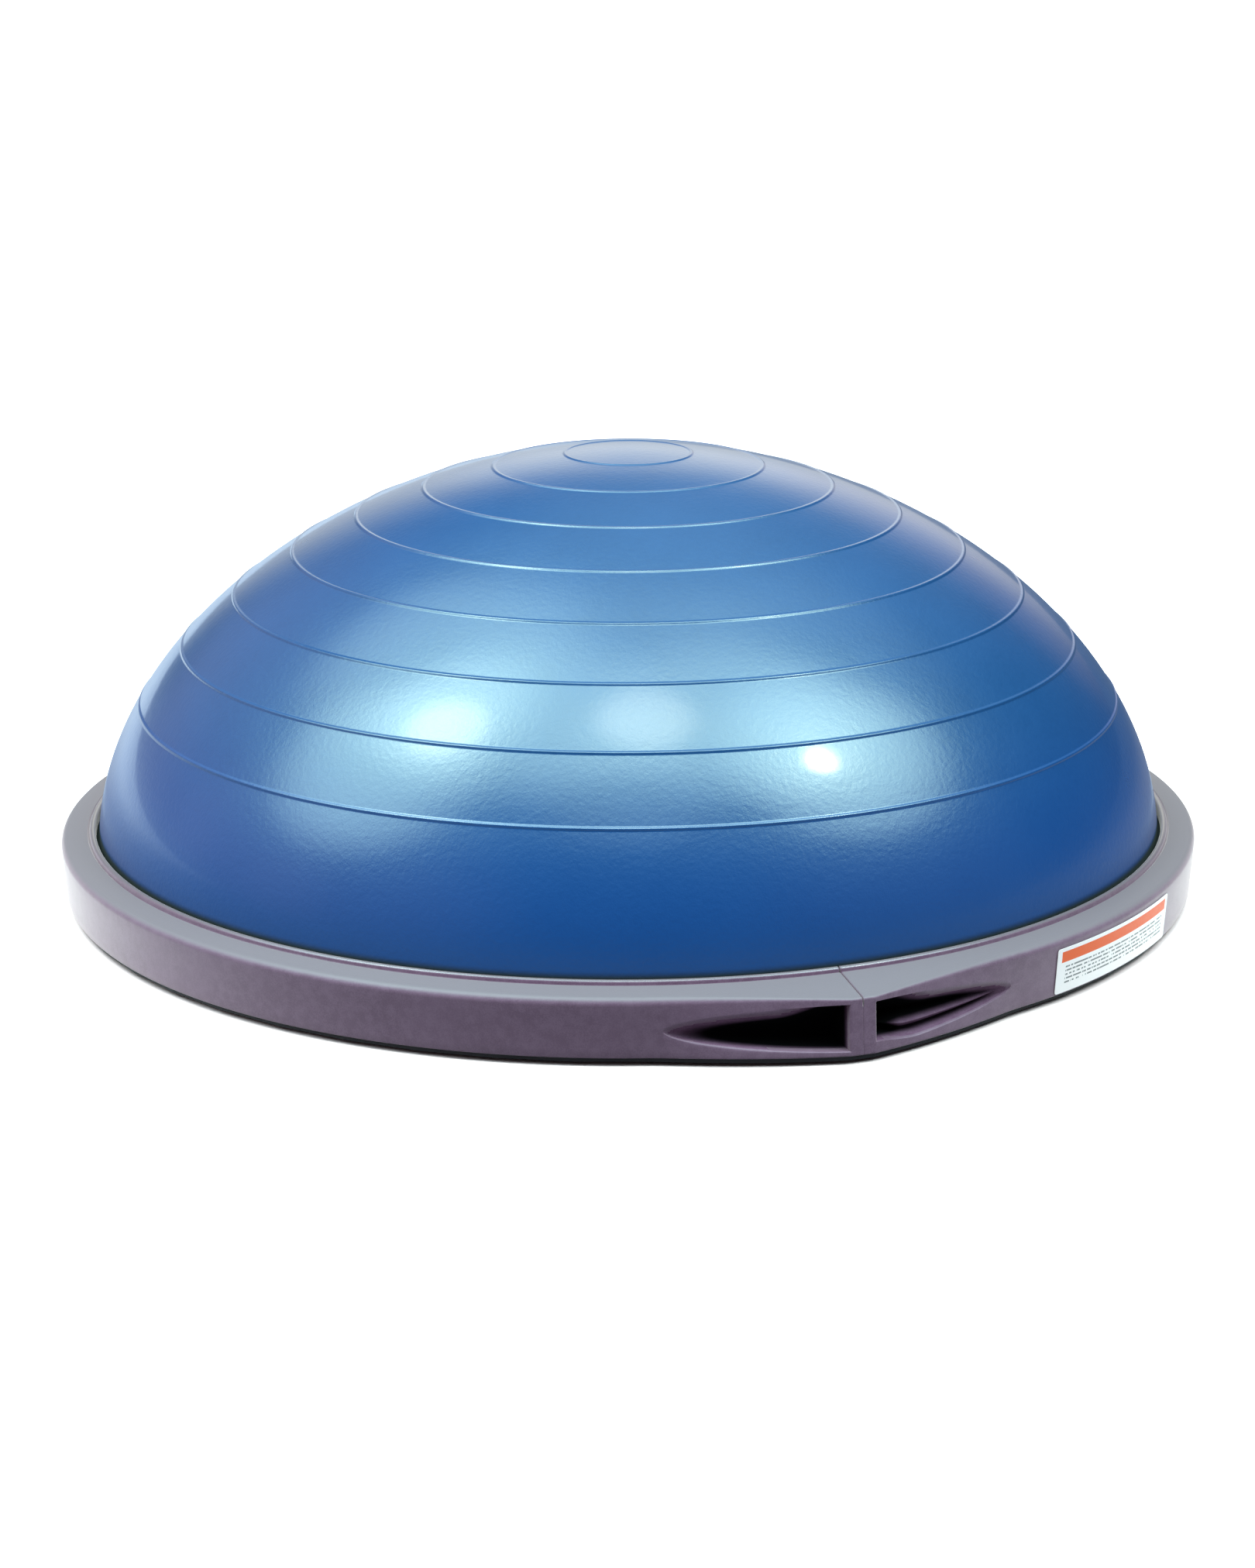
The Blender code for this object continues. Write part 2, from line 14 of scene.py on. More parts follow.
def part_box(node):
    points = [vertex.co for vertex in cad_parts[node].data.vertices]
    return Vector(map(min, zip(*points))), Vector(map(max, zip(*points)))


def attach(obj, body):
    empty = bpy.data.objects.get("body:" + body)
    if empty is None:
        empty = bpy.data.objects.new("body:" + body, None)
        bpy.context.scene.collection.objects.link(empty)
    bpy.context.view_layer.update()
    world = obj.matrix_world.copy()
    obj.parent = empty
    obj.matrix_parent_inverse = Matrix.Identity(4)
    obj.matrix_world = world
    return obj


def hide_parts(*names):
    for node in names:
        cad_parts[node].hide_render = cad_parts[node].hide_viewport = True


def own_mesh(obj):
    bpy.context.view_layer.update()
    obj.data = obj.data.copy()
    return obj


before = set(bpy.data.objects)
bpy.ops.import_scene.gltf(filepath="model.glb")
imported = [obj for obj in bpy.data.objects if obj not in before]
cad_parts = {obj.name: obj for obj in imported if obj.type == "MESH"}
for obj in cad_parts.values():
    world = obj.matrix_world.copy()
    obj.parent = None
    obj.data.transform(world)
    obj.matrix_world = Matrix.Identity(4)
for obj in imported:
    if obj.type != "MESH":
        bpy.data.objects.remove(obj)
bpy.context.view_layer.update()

MM = 0.001
TURN = 2 * math.pi

# ---------------------------------------------------------------- sizes

dome_low, dome_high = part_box("dome_skin")
rim_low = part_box("rim_half_right")[0]
label_low, label_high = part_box("rim_label")

# Dome skin
DOME_RADIUS = 299 * MM
DOME_FOOT_Z = 31 * MM
DOME_TOP_Z = dome_high.z
DOME_EXPONENT = 1.86
DOME_WALL = 3.5 * MM
RING_COUNT = 8
RING_FIRST = 35.2 * MM
RING_SPACING = 40.4 * MM
RING_HEIGHT = 0.5 * MM
RING_HALF_WIDTH = 1.7 * MM
DOME_SEGMENTS = 224
BEAD_OUTER_RADIUS = dome_high.x
BEAD_INNER_RADIUS = 292 * MM
BEAD_BOTTOM_Z = dome_low.z
BEAD_TOP_Z = 33.6 * MM
BEAD_ROUNDING = 1.5 * MM

# Rim
RIM_RADIUS = 317.5 * MM
WALL_LEAN = 2 * MM
WALL_THICKNESS = 3 * MM
RIM_BOTTOM_Z = rim_low.z
WALL_TOP_Z = 29.5 * MM
FLANGE_ROOT = 305.4 * MM, 38.0 * MM
FLANGE_SLOPE = 0.15
# (radius, z) in millimetres of the groove that parts the flange from the rounded lip round the dome
FLANGE_GROOVE = (305.4, 38.0), (305.1, 37.7), (304.8, 37.2), (304.4, 37.2), (304.15, 37.8)
LIP_CENTRE = 302.4 * MM, 38.35 * MM
LIP_ROUND_RADIUS = 1.75 * MM
LIP_INNER_RADIUS = 300.6 * MM
CORNER_FOOT_REACH = 17.5 * MM
CORNER_FOOT_SHARPNESS = 1.15
CORNER_TOP_REACH = 14 * MM
CORNER_TOP_SHARPNESS = 1.8
CORNER_HALF_ANGLE = math.radians(18)
CORNER_FLAT_ANGLE = math.radians(1.15)
SEAM_HALF_WIDTH = 0.42 * MM
WALL_SEAM_HALF_WIDTH = 0.05 * MM
SEAM_CHAMFER = 0.35 * MM
RIM_CORE_BOTTOM_Z = 6.5 * MM
LIP_UNDERSIDE_Z = 33.9 * MM
SCREW_CIRCLE_RADIUS = 310.2 * MM
SCREW_FIRST_ANGLE = math.radians(31.5)
SCREW_PITCH_ANGLE = math.radians(23.4)
SCREWS_PER_HALF = 6
# (radius, z) in millimetres, about the screw's axis
SCREW_BOSS = (5, 34.4), (5, 7.3), (4.4, 6.5), (1.8, 6.5), (1.8, 23), (0, 23), (0, 34.4)
# Past the grip, the rim's sections go on in even steps to the middle of the rim's side.
SIDE_START_ANGLE = math.radians(19)
SIDE_SPANS = 71

# Finger pockets. Heights in them go from -1 at the lower edge to 1 at the upper edge.
GRIP_RIB_HALF_WIDTH = 7.1 * MM
GRIP_RIB_EDGE = 0.9 * MM
POCKET_LENGTH = 87 * MM
POCKET_DEPTH = 22 * MM
POCKET_HALF_HEIGHT = 11.9 * MM
POCKET_MIDDLE_Z = 19.1 * MM
POCKET_POINT = 1.5
POCKET_LIP_RADIUS = 0.6 * MM, 1.4 * MM  # beside the rib, and well away from it
POCKET_LIP_STEPS = 4
POCKET_DEEPEST = -0.5
POCKET_PLASTIC_FROM = 1.2 * MM
# The floor of the right-hand pocket: height, and the most it is deep there, in millimetres.
# It has a soft lip, a groove and a ridge below the deep part, which is as deep as the pocket goes.
RIDGED_FLOOR = (
    (-1.0, 0.0),
    (-0.96, 0.4),
    (-0.92, 1.4),
    (-0.88, 3.2),
    (-0.83, 5.6),
    (-0.76, 7.6),
    (-0.68, 7.6),
    (-0.6, 6.4),
    (-0.52, 4.9),
    (-0.44, 3.9),
    (-0.37, 3.6),
    (-0.3, 4.3),
    (-0.22, 7.0),
    (-0.13, 11.5),
    (-0.03, 18.0),
    *((height, 30.0) for height in (0.12, 0.28, 0.44, 0.6, 0.75, 0.87, 0.95, 1.0)),
)

# Label
LABEL_START, LABEL_END = math.radians(23.1), math.radians(44.1)
LABEL_WIDTH = (LABEL_END - LABEL_START) * RIM_RADIUS
LABEL_CORNER = 1.6 * MM
LABEL_STANDOFFS = 0.65 * MM, 0.35 * MM
LABEL_PRINT_ROWS = 11.5

# Underside: (radius, z) in millimetres
SOLE = (0, 0.4), (3.4, 0.4), (3.8, 0), (6.6, 0), (7.0, 0.4), (7.9, 0.4), (8.3, 0)
SOLE_EDGE = (12.2, 0), (12.7, 0.2), (12.95, 0.6), (13, 1.1), (13, 2.5), (12.6, 2.9), (0, 2.9)
SCREW_HEAD = (0, 2.3), (1.6, 2.32), (2.5, 2.5), (3.0, 2.85), (3.2, 3.25), (3.2, 3.6)
SCREW_SHANK = (1.5, 3.6), (1.5, 22), (0, 22)
FOOT_COUNT = 8
VALVE_ROUNDING = 0.4 * MM

# Camera
VIEW_AZIMUTH = math.radians(-19.9)
CAMERA_DISTANCE = 1.978
CAMERA_HEIGHT = 0.6294
CAMERA_PITCH = math.radians(16.283)
CAMERA_YAW = math.radians(1.493)
CAMERA_ROLL = math.radians(0.119)
CAMERA_LENS = 83.06
CAMERA_SHIFT_X = -0.0593

# Glows of the studio, which stay in their places whichever view is taken. Each is azimuth round from
# VIEW_AZIMUTH, elevation, full within, gone past (all in degrees), strength.
OVERHEAD_TINT = (0.67, 0.95, 0.99)
OVERHEAD_GLOWS = (
    (0, 88, 2, 34, 1.7),
    (0, 62, 0, 24, 2.2),
    (0, 70, 0, 12, 1.4),
    (-60, 70, 0, 26, 3.5),
    (-82, 62, 6, 18, 3.3),
    (-78, 44, 0, 26, 6.0),
    (60, 70, 0, 26, 3.3),
    (72, 52, 0, 26, 8.0),
    (180, 68, 0, 36, 0.6),
    (-115, 60, 0, 26, 3.3),
    (115, 60, 0, 26, 0.7),
    (160, 45, 0, 32, 0.25),
)
WINDOW_TINT = (0.96, 1.0, 0.92)
WINDOW_GLOWS = (
    (12, 78, 4, 10, 6.0),
    (-78, 60, 4, 9, 9.5),
    (66, 54, 1.8, 4, 45.0),
)
BACK_TINT = (1.02, 1.0, 0.85)
BACK_GLOWS = (
    (180, 8, 0, 28, 0.85),
    (180, 16, 0, 14, 0.55),
)
HORIZON_TINT = (1.08, 0.90, 1.05)
HORIZON_GLOWS = (
    (-125, 22, 0, 38, 0.38),
    (-60, 12, 0, 40, 0.25),
    (60, 12, 0, 40, 0.10),
    (-90, 8, 0, 30, 0.3),
    (160, 12, 0, 18, 0.3),
)
STUDIO = (
    (OVERHEAD_TINT, OVERHEAD_GLOWS),
    (WINDOW_TINT, WINDOW_GLOWS),
    (BACK_TINT, BACK_GLOWS),
    (HORIZON_TINT, HORIZON_GLOWS),
)
AMBIENT = 0.01

# Colours, linear
VINYL_DARK, VINYL_LIGHT = (0.0035, 0.040, 0.128), (0.007, 0.054, 0.168)
VINYL_PEBBLE = (0.009, 0.058, 0.172)
# Painted shade: low on the dome the colour turns a deeper, more saturated blue
VINYL_LOW_PAINTED_SHADE = (0.004, 0.048, 0.215)
# Painted shade: near black at the skin's foot, where the gap between dome and rim lies in shade
VINYL_FOOT_PAINTED_SHADE = (0.001, 0.002, 0.006)
RIM_DARK, RIM_LIGHT = (0.114, 0.056, 0.094), (0.132, 0.067, 0.111)
RIM_MOTTLE = (0.158, 0.086, 0.134)
# Painted light: a greyer tint on the flange's upward faces, as lit from overhead
RIM_FLANGE_PAINTED_LIGHT = (0.122, 0.094, 0.109)
# Painted shade: near black deep in the finger pockets
RIM_POCKET_PAINTED_SHADE = (0.0008, 0.0005, 0.0008)
LABEL_WHITE, LABEL_BARS = (0.86, 0.76, 0.75), (0.20, 0.18, 0.18)
LABEL_ORANGE = (0.76, 0.092, 0.005)
PLATFORM_BLACKS = (0.003, 0.003, 0.004), (0.006, 0.006, 0.007)
RUBBER_BLACKS = (0.006, 0.006, 0.006), (0.010, 0.010, 0.010)
PLUG_GREYS = (0.60, 0.60, 0.57), (0.68, 0.68, 0.65)
ZINC_GREYS = (0.52, 0.52, 0.50), (0.66, 0.66, 0.63)
PAPER_SEEN = (0.99, 0.77, 0.75)
PAPER_NEAR = (0.99, 0.90, 0.88)
PAPER_AHEAD = (0.15, 0.125, 0.15)
PAPER_LEFT, PAPER_RIGHT = (0.52, 0.47, 0.52), (0.05, 0.05, 0.07)


# ---------------------------------------------------------------- mesh helpers


def polar(radius, angle):
    """A place at this angle round from -Y, turning towards +X."""
    return radius * math.sin(angle), -radius * math.cos(angle)


def smoothstep(low, high, value):
    share = min(max((value - low) / (high - low), 0.0), 1.0)
    return share * share * (3 - 2 * share)


def in_mm(points):
    return [(radius * MM, z * MM) for radius, z in points]


def add_piece(name, mesh):
    made = bpy.data.objects.new(name, mesh)
    bpy.context.scene.collection.objects.link(made)
    return made


def skin(shape, loops, wrap):
    """Quads between neighbouring closed loops of points.

    wrap joins the last loop to the first; without it, both end loops are capped.
    """
    rows = [[shape.verts.new(point) for point in loop] for loop in loops]
    pairs = list(zip(rows, rows[1:])) + ([(rows[-1], rows[0])] if wrap else [])
    count = len(rows[0])
    for before, after in pairs:
        for i in range(count):
            j = (i + 1) % count
            shape.faces.new((before[i], after[i], after[j], before[j]))
    if not wrap:
        shape.faces.new(rows[0])
        shape.faces.new(reversed(rows[-1]))


def to_mesh(shape, name, sharp_angle=math.radians(40)):
    bmesh.ops.remove_doubles(shape, verts=shape.verts, dist=1e-6)
    # Where a profile runs along its own axis, merging leaves a bare edge.
    on_axis = [edge for edge in shape.edges if edge.is_wire]
    bmesh.ops.delete(shape, geom=on_axis, context="EDGES")
    bmesh.ops.recalc_face_normals(shape, faces=shape.faces)
    mesh = bpy.data.meshes.new(name)
    shape.to_mesh(mesh)
    shape.free()
    mesh.shade_smooth()
    mesh.set_sharp_from_angle(angle=sharp_angle)
    return mesh


def turn_profile(shape, profile, segments, centre=(0, 0)):
    """Turns a closed profile of (radius, z) points about a vertical axis at centre."""
    loops = []
    for i in range(segments):
        angle = TURN * i / segments
        sine, cosine = math.sin(angle), math.cos(angle)
        loops.append([(centre[0] + r * sine, centre[1] - r * cosine, z) for r, z in profile])
    skin(shape, loops, wrap=True)


def lathe(name, profile, segments, centre=(0, 0), sharp_angle=math.radians(40)):
    shape = bmesh.new()
    turn_profile(shape, profile, segments, centre)
    return add_piece(name, to_mesh(shape, name, sharp_angle))


def fillet(before, corner, after, radius, steps):
    """Points of the arc that rounds a corner between two straight runs, both tangent points included."""
    before, corner, after = Vector(before), Vector(corner), Vector(after)
    back, on = (before - corner).normalized(), (after - corner).normalized()
    half = math.acos(max(-1.0, min(1.0, back.dot(on)))) / 2
    run = radius / math.tan(half)
    middle = corner + (back + on).normalized() * (radius / math.sin(half))
    start, end = corner + back * run - middle, corner + on * run - middle
    sweep = math.pi - 2 * half
    points = []
    for i in range(steps + 1):
        share = i / steps
        weights = math.sin((1 - share) * sweep), math.sin(share * sweep)
        points.append(middle + (start * weights[0] + end * weights[1]) / math.sin(sweep))
    return [(point.x, point.y) for point in points]


def line_crossing(a, b, c, d):
    """Where the line through a and b crosses the line through c and d."""
    a, b, c, d = Vector(a), Vector(b), Vector(c), Vector(d)
    ab, cd = b - a, d - c
    share = (c - a).cross(cd) / ab.cross(cd)
    return a + ab * share


# ---------------------------------------------------------------- shader helpers


class Shader:
    """Adds and links the nodes of one material or world."""

    def __init__(self, tree):
        self.tree = tree
        tree.nodes.clear()

    def node(self, kind, inputs=None, **settings):
        made = self.tree.nodes.new("ShaderNode" + kind)
        for name, value in settings.items():
            setattr(made, name, value)
        for name, value in (inputs or {}).items():
            self.plug(made.inputs[name], value)
        return made

    def plug(self, socket, value):
        if isinstance(value, bpy.types.NodeSocket):
            self.tree.links.new(value, socket)
        elif isinstance(value, tuple) and len(value) == 3 and socket.type == "RGBA":
            socket.default_value = (*value, 1)
        else:
            socket.default_value = value

    def math(self, operation, *values):
        made = self.node("Math", operation=operation)
        for socket, value in zip(made.inputs, values):
            self.plug(socket, value)
        return made.outputs[0]

    def ramp(self, value, low, high, to_low=0.0, to_high=1.0):
        """Goes smoothly from to_low to to_high as value goes from low to high."""
        inputs = {"Value": value, "From Min": low, "From Max": high, "To Min": to_low, "To Max": to_high}
        return self.node("MapRange", inputs, interpolation_type="SMOOTHSTEP").outputs[0]

    def mix(self, share, first, second):
        made = self.node("Mix", data_type="RGBA")
        self.plug(made.inputs[0], share)
        self.plug(made.inputs[6], first)
        self.plug(made.inputs[7], second)
        return made.outputs[2]

    def dot(self, first, second):
        return self.node("VectorMath", {0: first, 1: second}, operation="DOT_PRODUCT").outputs["Value"]

    def length(self, vector):
        return self.node("VectorMath", {0: vector}, operation="LENGTH").outputs["Value"]

    def part(self, vector, axis):
        return self.node("SeparateXYZ", {"Vector": vector}).outputs[axis]

    def noise(self, place, scale, detail=2.0, roughness=0.5):
        inputs = {"Vector": place, "Scale": scale, "Detail": detail, "Roughness": roughness}
        return self.node("TexNoise", inputs).outputs["Fac"]

    def bump(self, height, strength, distance):
        inputs = {"Height": height, "Strength": strength, "Distance": distance}
        return self.node("Bump", inputs).outputs[0]


def new_material(name):
    material = bpy.data.materials.new(name)
    material.use_nodes = True
    return material, Shader(material.node_tree)


def finish_material(shader, **inputs):
    named = {name.replace("_", " "): value for name, value in inputs.items()}
    principled = shader.node("BsdfPrincipled", named)
    output = shader.node("OutputMaterial")
    shader.tree.links.new(principled.outputs[0], output.inputs["Surface"])


def dome_vinyl():
    """Glossy blue vinyl: a clear coat over a fine-grained body with slight cloudy colour variation."""
    material, shader = new_material("dome_vinyl")
    place = shader.node("TexCoord").outputs["Object"]
    cloud = shader.noise(place, 14, 5, 0.65)
    pebble = shader.noise(place, 330, 2, 0.6)
    grain = shader.noise(place, 1100, 2, 0.6)
    height = shader.node("Attribute", attribute_name="rest_height").outputs["Fac"]
    # Painted shade: the colour goes near black over the last few millimetres above the rim, where the gap
    # between dome and rim lies in shade.
    foot = shader.ramp(height, 43 * MM, 38.5 * MM)
    coat = shader.ramp(height, 42 * MM, 80 * MM, 0.0, 0.45)
    relief = shader.math("ADD", shader.math("MULTIPLY", grain, 0.25), pebble)
    shade = shader.mix(shader.ramp(cloud, 0.2, 0.8), VINYL_DARK, VINYL_LIGHT)
    colour = shader.mix(shader.math("MULTIPLY_ADD", pebble, 0.7, 0.15), shade, VINYL_PEBBLE)
    # Painted shade: towards the bottom of the dome the colour turns a deeper, more saturated blue.
    deep = shader.ramp(height, 150 * MM, 60 * MM, 0.0, 0.6)
    colour = shader.mix(deep, colour, VINYL_LOW_PAINTED_SHADE)
    colour = shader.mix(foot, colour, VINYL_FOOT_PAINTED_SHADE)
    roughness = shader.math("ADD", shader.math("MULTIPLY", cloud, 0.08), 0.25)
    finish_material(
        shader,
        Base_Color=colour,
        Roughness=shader.math("ADD", roughness, shader.math("MULTIPLY", foot, 0.5)),
        Normal=shader.bump(relief, 0.22, 0.0006),
        IOR=1.6,
        Specular_Tint=(0.82, 1.0, 0.80, 1),
        Coat_Weight=coat,
        Coat_Roughness=0.08,
        Coat_IOR=1.5,
    )
    return material


def rim_plastic(name, sheen, specular):
    """Mauve-grey moulded plastic with a fine grain, and painted shade that turns it near black deep in
    the finger pockets.

    Its lip round the dome is smoother, and painted light from overhead makes its flange greyer.
    """
    material, shader = new_material(name)
    place = shader.node("TexCoord").outputs["Object"]
    cloud = shader.noise(place, 22, 3)
    grain = shader.noise(place, 1400, 2, 0.6)
    blotch = shader.noise(place, 170, 3, 0.6)
    mottle = shader.math("MULTIPLY", shader.math("ADD", grain, blotch), 0.5)
    shade = shader.mix(shader.ramp(cloud, 0.3, 0.7), RIM_DARK, RIM_LIGHT)
    shade = shader.mix(shader.ramp(mottle, 0.38, 0.62), shade, RIM_MOTTLE)
    # Painted light: upward faces above the wall take a greyer tint, as lit from overhead.
    facing_up = shader.ramp(shader.part(shader.node("NewGeometry").outputs["Normal"], 2), 0.35, 0.95)
    above_wall = shader.ramp(shader.part(place, 2), 30 * MM, 32 * MM)
    colour = shader.mix(shader.math("MULTIPLY", facing_up, above_wall), shade, RIM_FLANGE_PAINTED_LIGHT)
    depth = shader.node("Attribute", attribute_name="pocket_depth").outputs["Fac"]
    # Painted shade: the colour goes near black deep in the finger pockets, from 2 mm to 8.5 mm inside the
    # wall.
    pocket_painted_shade = shader.ramp(depth, 2 * MM, 8.5 * MM)
    colour = shader.mix(pocket_painted_shade, colour, RIM_POCKET_PAINTED_SHADE)
    level = shader.node("VectorMath", {0: place, 1: (1, 1, 0)}, operation="MULTIPLY").outputs[0]
    polished = shader.ramp(shader.length(level), 304.9 * MM, 304.2 * MM)
    roughness = shader.math("ADD", shader.math("MULTIPLY", cloud, 0.08), 0.48)
    roughness = shader.math("SUBTRACT", roughness, shader.math("MULTIPLY", polished, 0.34))
    roughness = shader.math("ADD", roughness, shader.math("MULTIPLY", pocket_painted_shade, 0.4))
    finish_material(
        shader,
        Base_Color=colour,
        Roughness=roughness,
        Normal=shader.bump(grain, 0.12, 0.0003),
        IOR=1.55,
        Specular_IOR_Level=specular,
        Sheen_Weight=sheen,
        Sheen_Roughness=0.4,
        Sheen_Tint=(1.0, 0.80, 0.76, 1),
    )
    return material


def grained_plastic(name, dark, light, roughness):
    """Plain plastic or rubber: a fine grain in colour and relief, and slightly uneven gloss."""
    material, shader = new_material(name)
    place = shader.node("TexCoord").outputs["Object"]
    grain = shader.noise(place, 1100, 2, 0.6)
    finish_material(
        shader,
        Base_Color=shader.mix(shader.ramp(grain, 0.35, 0.65), dark, light),
        Roughness=shader.ramp(shader.noise(place, 30, 3), 0.3, 0.7, roughness - 0.04, roughness + 0.04),
        Normal=shader.bump(grain, 0.2, 0.0003),
        IOR=1.5,
    )
    return material


def zinc_steel():
    """Bright plated steel with a cloudy tint and uneven gloss."""
    material, shader = new_material("zinc_steel")
    place = shader.node("TexCoord").outputs["Object"]
    cloud = shader.noise(place, 260, 3)
    finish_material(
        shader,
        Base_Color=shader.mix(shader.ramp(cloud, 0.3, 0.7), *ZINC_GREYS),
        Metallic=1.0,
        Roughness=shader.ramp(cloud, 0.3, 0.7, 0.28, 0.42),
    )
    return material


def label_print():
    """White film with an orange band above rows of small grey bars that stand for print."""
    material, shader = new_material("label_print")
    place = shader.node("UVMap", uv_map="print").outputs[0]
    axes = shader.node("SeparateXYZ", {"Vector": place})
    across, up = axes.outputs[0], axes.outputs[1]

    def between(value, low, high):
        above, below = shader.math("GREATER_THAN", value, low), shader.math("LESS_THAN", value, high)
        return shader.math("MULTIPLY", above, below)

    def in_box(left, right, bottom, top):
        return shader.math("MULTIPLY", between(across, left, right), between(up, bottom, top))

    row = shader.math("MULTIPLY", up, LABEL_PRINT_ROWS)
    row_start = shader.math("MULTIPLY", shader.math("FLOOR", row), 7.31)
    spot = shader.node("CombineXYZ", {"X": shader.math("MULTIPLY", across, 80.0), "Y": row_start})
    word = shader.math("GREATER_THAN", shader.noise(spot.outputs[0], 1.0, 0.0), 0.43)
    bars = shader.math("MULTIPLY", between(shader.math("FRACT", row), 0.30, 0.72), word)
    bars = shader.math("MULTIPLY", bars, in_box(0.06, 0.94, 0.17, 0.62))
    colour = shader.mix(bars, LABEL_WHITE, LABEL_BARS)
    colour = shader.mix(in_box(0.03, 0.97, 0.68, 0.92), colour, LABEL_ORANGE)
    fibre = shader.noise(shader.node("TexCoord").outputs["Object"], 700, 2)
    finish_material(
        shader,
        Base_Color=colour,
        Roughness=shader.ramp(fibre, 0.2, 0.8, 0.36, 0.46),
        Normal=shader.bump(fibre, 0.05, 0.0002),
        IOR=1.4,
    )
    return material


# ---------------------------------------------------------------- dome


def dome_curve(radius, height, samples=900):
    """Arc length, radius and height above the dome's foot along the superellipse, apex first."""
    curve = []
    length = 0.0
    for i in range(samples + 1):
        phi = math.pi / 2 * i / samples
        here = (
            radius * math.sin(phi) ** (2 / DOME_EXPONENT),
            height * max(math.cos(phi), 0.0) ** (2 / DOME_EXPONENT),
        )
        if curve:
            length += math.dist(here, curve[-1][1:])
        curve.append((length, *here))
    return curve


def point_along(curve, length):
    """The point at this arc length, and the outward normal there."""
    for before, after in zip(curve, curve[1:]):
        if after[0] >= length:
            share = (length - before[0]) / (after[0] - before[0])
            radius = before[1] + share * (after[1] - before[1])
            z = before[2] + share * (after[2] - before[2])
            along = Vector((after[1] - before[1], after[2] - before[2])).normalized()
            return Vector((radius, z)), Vector((-along.y, along.x))
    return Vector(curve[-1][1:]), Vector((1, 0))


def ring_lift(length):
    """How far the nearest raised ring lifts the surface at this arc length."""
    ring = min(max(round((length - RING_FIRST) / RING_SPACING), 0), RING_COUNT - 1)
    away = abs(length - RING_FIRST - ring * RING_SPACING) / RING_HALF_WIDTH
    return RING_HEIGHT * (0.5 + 0.5 * math.cos(math.pi * away)) ** 1.3 if away < 1 else 0.0


def dome_lengths(total):
    """Arc lengths of the profile's points: close together across each ring, wider between them."""
    lengths = [0.0, 9 * MM, 18 * MM, 27 * MM]
    ring_steps, foot_steps = 10, 14
    for ring in range(RING_COUNT):
        middle = RING_FIRST + ring * RING_SPACING
        for i in range(-ring_steps, ring_steps + 1):
            lengths.append(middle + RING_HALF_WIDTH * 1.15 * i / ring_steps)
        if ring < RING_COUNT - 1:
            lengths += [middle + RING_SPACING * share for share in (0.2, 0.35, 0.5, 0.65, 0.8)]
    last = lengths[-1]
    lengths += [last + (total - last) * i / foot_steps for i in range(1, foot_steps + 1)]
    return lengths


def dome_profile():
    """(radius, z) points of the skin's closed outline: outer side, clamp bead, inner side."""
    curve = dome_curve(DOME_RADIUS, DOME_TOP_Z - DOME_FOOT_Z)
    outer = []
    for length in dome_lengths(curve[-1][0]):
        place, normal = point_along(curve, length)
        point = place + normal * ring_lift(length)
        outer.append((max(point.x, 0.0), point.y + DOME_FOOT_Z))
    outer[0] = (0.0, DOME_TOP_Z)
    outer = [point for point in outer if point[1] > BEAD_TOP_Z + 1 * MM]
    bead = [(DOME_RADIUS, BEAD_TOP_Z + 0.8 * MM), (DOME_RADIUS + 0.8 * MM, BEAD_TOP_Z)]
    shoulder, heel = (BEAD_OUTER_RADIUS, BEAD_TOP_Z), (BEAD_OUTER_RADIUS, BEAD_BOTTOM_Z)
    bead += fillet(bead[-1], shoulder, heel, BEAD_ROUNDING, 5)
    bead += [heel, (BEAD_INNER_RADIUS, BEAD_BOTTOM_Z)]
    inner_curve = dome_curve(DOME_RADIUS - DOME_WALL, DOME_TOP_Z - DOME_FOOT_Z - DOME_WALL)
    total = inner_curve[-1][0]
    inner = [point_along(inner_curve, total * (1 - i / 40))[0] for i in range(2, 40)]
    inner = [(point.x, point.y + DOME_FOOT_Z) for point in inner] + [(0.0, DOME_TOP_Z - DOME_WALL)]
    return outer + bead + inner


def mark_heights(mesh):
    """Stores each point's height at rest, so that the painted shade at the foot stays on the skin when it
    sinks.
    """
    attribute = mesh.attributes.new("rest_height", "FLOAT", "POINT")
    attribute.data.foreach_set("value", [vertex.co.z for vertex in mesh.vertices])


def make_dome(material):
    """The skin sinks with the dome's body."""
    dome = lathe("dome_vinyl_skin", dome_profile(), DOME_SEGMENTS, sharp_angle=math.radians(60))
    mark_heights(dome.data)
    dome.data.materials.append(material)
    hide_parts("dome_skin")
    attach(dome, "dome")
    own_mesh(dome)


# ---------------------------------------------------------------- rim


def corner_offsets(angle):
    """How far the wall's foot and top stand out of the circle, at this angle from the grip's middle."""
    share = (abs(angle) - CORNER_FLAT_ANGLE) / (CORNER_HALF_ANGLE - CORNER_FLAT_ANGLE)
    left = 1 - min(max(share, 0), 1)
    return CORNER_FOOT_REACH * left**CORNER_FOOT_SHARPNESS, CORNER_TOP_REACH * left**CORNER_TOP_SHARPNESS


def wall_radius(angle, z):
    """Radius of the wall's outer surface; angle is from the middle of the nearer grip."""
    foot, top = corner_offsets(angle)
    share = (z - RIM_BOTTOM_Z) / (WALL_TOP_Z - RIM_BOTTOM_Z)
    return RIM_RADIUS + foot + (top + WALL_LEAN - foot) * share


def scoop_shape(share):
    """Half height, greatest depth and upper edge's softness, at this share of the way from the rib."""
    narrowing = math.sqrt(max(1 - share**POCKET_POINT, 0))
    depth = POCKET_DEPTH * (1 - share**1.4) ** 0.9 if share < 1 else 0.0
    return POCKET_HALF_HEIGHT * narrowing, depth, 0.15 + 0.85 * smoothstep(0.02, 0.4, share)


def upper_share(away, softness):
    """Share of the full depth between the deepest line (away 0) and the upper edge (away 1)."""
    crisp = math.sqrt(max(1 - away**2, 0))
    soft = smoothstep(0, 1, 1 - away)
    return crisp + (soft - crisp) * softness


